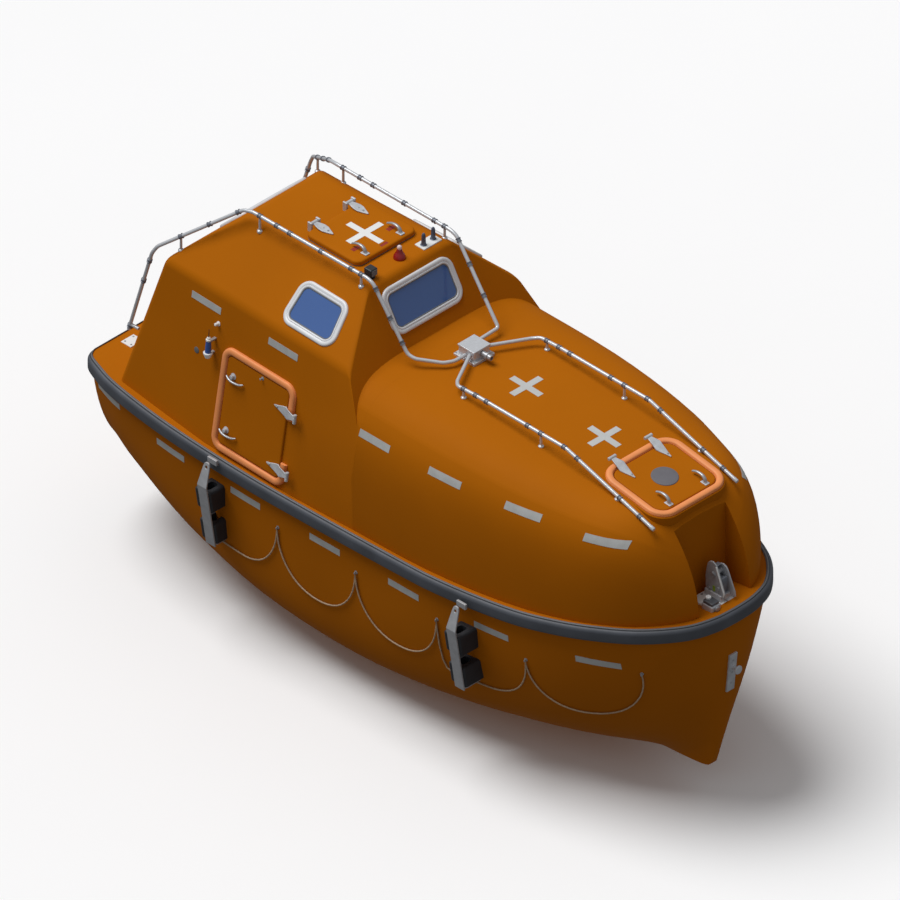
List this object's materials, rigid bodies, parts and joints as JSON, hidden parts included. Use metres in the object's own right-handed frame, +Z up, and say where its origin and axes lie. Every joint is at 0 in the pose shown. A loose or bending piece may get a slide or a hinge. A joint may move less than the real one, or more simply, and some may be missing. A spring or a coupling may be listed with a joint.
{
  "type": "enclosed lifeboat",
  "caption": "Totally enclosed davit-launched lifeboat with raised helm cabin, side doors, hatches, lifting hooks, guard skates and steering nozzle.",
  "frame": {"origin": "at the waterline, amidships, on the centreline", "axes": "+X towards the bow, +Y towards port, +Z up"},
  "size_m": [5.6906, 2.3073, 3.12],
  "materials": {
    "orange_gelcoat": "orange gelcoat on glass-reinforced plastic, satin gloss",
    "fender_rubber": "dark grey extruded rubber with a lighter top edge",
    "skate_rubber": "black moulded rubber",
    "seal_rubber": "salmon orange soft seal",
    "window_frame": "light grey anodised frame",
    "window_glass": "dark blue tinted pane",
    "stainless_steel": "brushed stainless steel",
    "spray_pipe": "light polished steel pipe",
    "propeller_bronze": "cast bronze",
    "black_plastic": "black plastic lamp housing",
    "beacon_red": "dark red lens with a white top",
    "canister_blue": "blue canister with white ends",
    "lifeline_rope": "thin laid rope",
    "white_liner": "white moulded liner",
    "engine_paint": "grey enamel"
  },
  "bodies": {
    "boat": {"hull": "orange_gelcoat", "keel": "orange_gelcoat", "canopy_cabin": "orange_gelcoat", "canopy_foredeck": "orange_gelcoat", "fender": "fender_rubber", "door_seal_starboard": "seal_rubber", "door_seal_port": "seal_rubber", "fore_hatch_seal": "seal_rubber", "window_frame_front": "window_frame", "window_frame_aft": "window_frame", "window_frame_port": "window_frame", "window_frame_starboard": "window_frame", "window_glass_front": "window_glass", "window_glass_aft": "window_glass", "window_glass_port": "window_glass", "window_glass_starboard": "window_glass", "roof_pipe_starboard": "spray_pipe", "roof_pipe_port": "spray_pipe", "foredeck_pipe_starboard": "spray_pipe", "foredeck_pipe_port": "spray_pipe", "manifold_box": "spray_pipe", "hook_fore": "stainless_steel", "hook_aft": "stainless_steel", "tow_plate": "stainless_steel", "beacon": "beacon_red", "post_plate": "stainless_steel", "deck_lamp": "black_plastic", "rescue_canister": "canister_blue", "skate_strap_aft": "stainless_steel", "skate_strap_fore": "stainless_steel", "skate_block_aft_upper": "skate_rubber", "skate_block_aft_lower": "skate_rubber", "skate_block_fore_upper": "skate_rubber", "skate_block_fore_lower": "skate_rubber", "lifeline_starboard": "lifeline_rope", "lifeline_port": "lifeline_rope", "bench_starboard": "white_liner", "bench_port": "white_liner", "helm_console": "white_liner", "engine_block": "engine_paint"},
    "door_starboard": {"door_starboard": "orange_gelcoat"},
    "door_port": {"door_port": "orange_gelcoat"},
    "roof_hatch": {"roof_hatch": "orange_gelcoat"},
    "fore_hatch": {"fore_hatch": "orange_gelcoat"},
    "propeller": {"propeller": "propeller_bronze"},
    "steering_nozzle": {"steering_nozzle": "stainless_steel"}
  },
  "joints": [
    {"name": "door_starboard_hinge", "type": "hinge", "parent": "boat", "child": "door_starboard", "pos_m": [-0.6218, -0.9905, 1.1111], "axis": [0.0057, 0.1642, 0.9864], "range_deg": [0, 100]},
    {"name": "door_port_hinge", "type": "hinge", "parent": "boat", "child": "door_port", "pos_m": [-0.6218, 0.9905, 1.1111], "axis": [-0.0057, 0.1642, -0.9864], "range_deg": [0, 100]},
    {"name": "roof_hatch_hinge", "type": "hinge", "parent": "boat", "child": "roof_hatch", "pos_m": [-1.21, 0, 2.315], "axis": [0, -1, 0], "range_deg": [0, 105]},
    {"name": "fore_hatch_hinge", "type": "hinge", "parent": "boat", "child": "fore_hatch", "pos_m": [1.7628, 0, 1.7773], "axis": [0, -1, 0], "range_deg": [0, 105]},
    {"name": "propeller_shaft", "type": "hinge", "parent": "boat", "child": "propeller", "pos_m": [-2.35, 0, -0.585], "axis": [1, 0, 0], "continuous": true},
    {"name": "nozzle_stock", "type": "hinge", "parent": "boat", "child": "steering_nozzle", "pos_m": [-2.35, 0, -0.585], "axis": [0, 0, 1], "range_deg": [-35, 35]}
  ]
}
